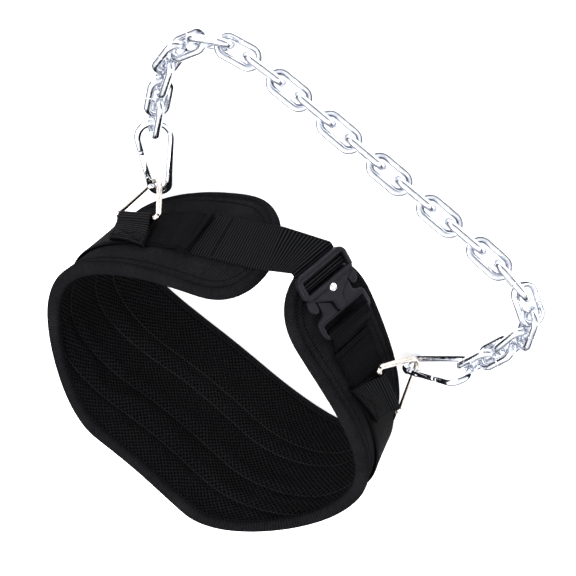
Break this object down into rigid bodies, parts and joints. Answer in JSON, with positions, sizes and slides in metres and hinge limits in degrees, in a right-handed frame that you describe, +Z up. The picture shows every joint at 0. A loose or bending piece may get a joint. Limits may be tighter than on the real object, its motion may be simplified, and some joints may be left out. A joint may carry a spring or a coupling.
{
  "type": "dip belt",
  "caption": "Padded waist belt with a wide back, a webbing strap and side-release buckle, triangle rings, snap hooks and a loading chain laid in front.",
  "frame": {"origin": "middle of the whole belt and its chain seen from above, on the floor they rest on", "axes": "+Z up from the lower edge that the belt stands on, -Y to the buckle and chain, +X to the wearer's left"},
  "size_m": [0.391, 0.3502, 0.1633],
  "materials": {
    "cloth": "black woven cloth over foam",
    "webbing": "black ribbed webbing",
    "black_metal": "black satin coating",
    "nickel": "bright nickel plate",
    "chrome": "polished plate",
    "zinc": "bright zinc plate"
  },
  "bodies": {
    "belt": {"waist_pad": "cloth", "edge_binding": "cloth", "load_strap": "webbing", "long_strap": "webbing", "short_strap": "webbing", "left_ring_loop": "webbing", "right_ring_loop": "webbing", "buckle_cover": "black_metal", "buckle_plate": "black_metal", "upper_release_tab": "black_metal", "lower_release_tab": "black_metal", "left_ring": "nickel", "right_ring": "nickel", "buckle_rivet": "nickel", "left_hook": "chrome", "right_hook": "chrome", "link_01": "zinc", "link_02": "zinc", "link_03": "zinc", "link_04": "zinc", "link_05": "zinc", "link_06": "zinc", "link_07": "zinc", "link_08": "zinc", "link_09": "zinc", "link_10": "zinc", "link_11": "zinc", "link_12": "zinc", "link_13": "zinc", "link_14": "zinc", "link_15": "zinc", "link_16": "zinc", "link_17": "zinc", "link_18": "zinc", "link_19": "zinc", "link_20": "zinc", "link_21": "zinc", "link_22": "zinc", "link_23": "zinc"},
    "left_gate": {"left_gate": "chrome"},
    "right_gate": {"right_gate": "chrome"}
  },
  "joints": [
    {"name": "left_gate_hinge", "type": "hinge", "parent": "belt", "child": "left_gate", "pos_m": [0.15512, 0.00783, 0.01744], "axis": [0.4106, 0.2888, -0.8649], "range_deg": [0, 25]},
    {"name": "right_gate_hinge", "type": "hinge", "parent": "belt", "child": "right_gate", "pos_m": [-0.13184, 0.0022, 0.02151], "axis": [0.7135, -0.6792, 0.1719], "range_deg": [0, 25]}
  ]
}
